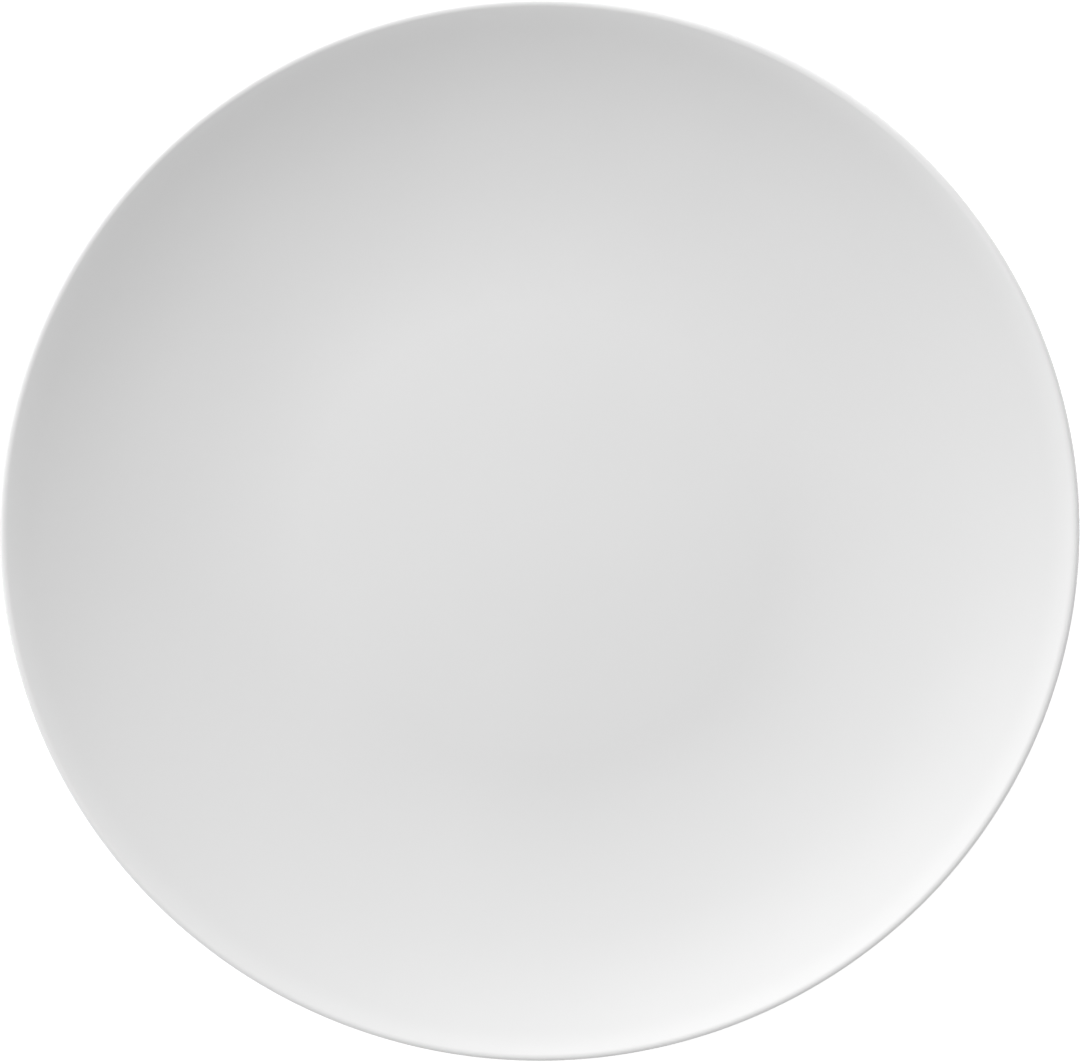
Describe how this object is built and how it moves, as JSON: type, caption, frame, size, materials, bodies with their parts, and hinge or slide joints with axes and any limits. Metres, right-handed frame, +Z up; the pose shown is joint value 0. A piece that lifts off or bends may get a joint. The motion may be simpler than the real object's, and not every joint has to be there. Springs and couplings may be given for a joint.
{
  "type": "coupe dinner plate",
  "caption": "Round white porcelain coupe plate: a flat well that curves up in one sweep to a thin rounded lip, with no rim, standing on a bare foot ring.",
  "frame": {"origin": "centre of the foot ring's resting face, on the table", "axes": "+Z up along the plate's axis of revolution; X and Y are free"},
  "size_m": [0.27, 0.27, 0.025],
  "materials": {
    "bare_porcelain": "unglazed, ground smooth on the resting face",
    "clear_glaze": "transparent glossy glaze over white porcelain"
  },
  "bodies": {
    "root": {"porcelain_body": "bare_porcelain", "outer_glaze": "clear_glaze", "recess_glaze": "clear_glaze"}
  },
  "joints": []
}
